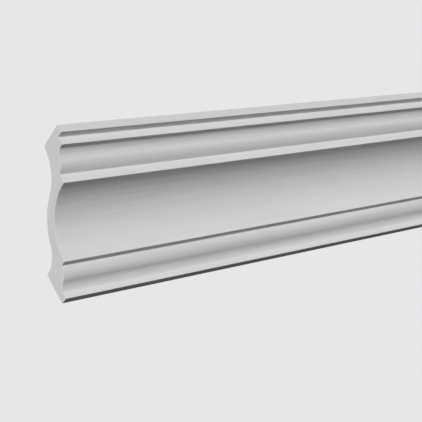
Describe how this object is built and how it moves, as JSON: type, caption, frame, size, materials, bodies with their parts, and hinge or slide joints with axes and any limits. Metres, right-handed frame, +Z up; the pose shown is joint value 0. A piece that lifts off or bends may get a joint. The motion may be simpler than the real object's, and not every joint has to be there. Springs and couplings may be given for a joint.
{
  "type": "cornice moulding length",
  "caption": "Straight length of plain cast cornice for the corner of wall and ceiling: fillets and ogees around a wide cove, hollow behind.",
  "frame": {"origin": "centre of the flat strip that goes against the wall", "axes": "+X along the length, +Y into the wall, +Z up to the ceiling; the face looks towards -Y and -Z"},
  "size_m": [1, 0.1255, 0.134],
  "materials": {
    "plaster": "matt off-white cast plaster"
  },
  "bodies": {
    "root": {"cornice_length": "plaster"}
  },
  "joints": []
}
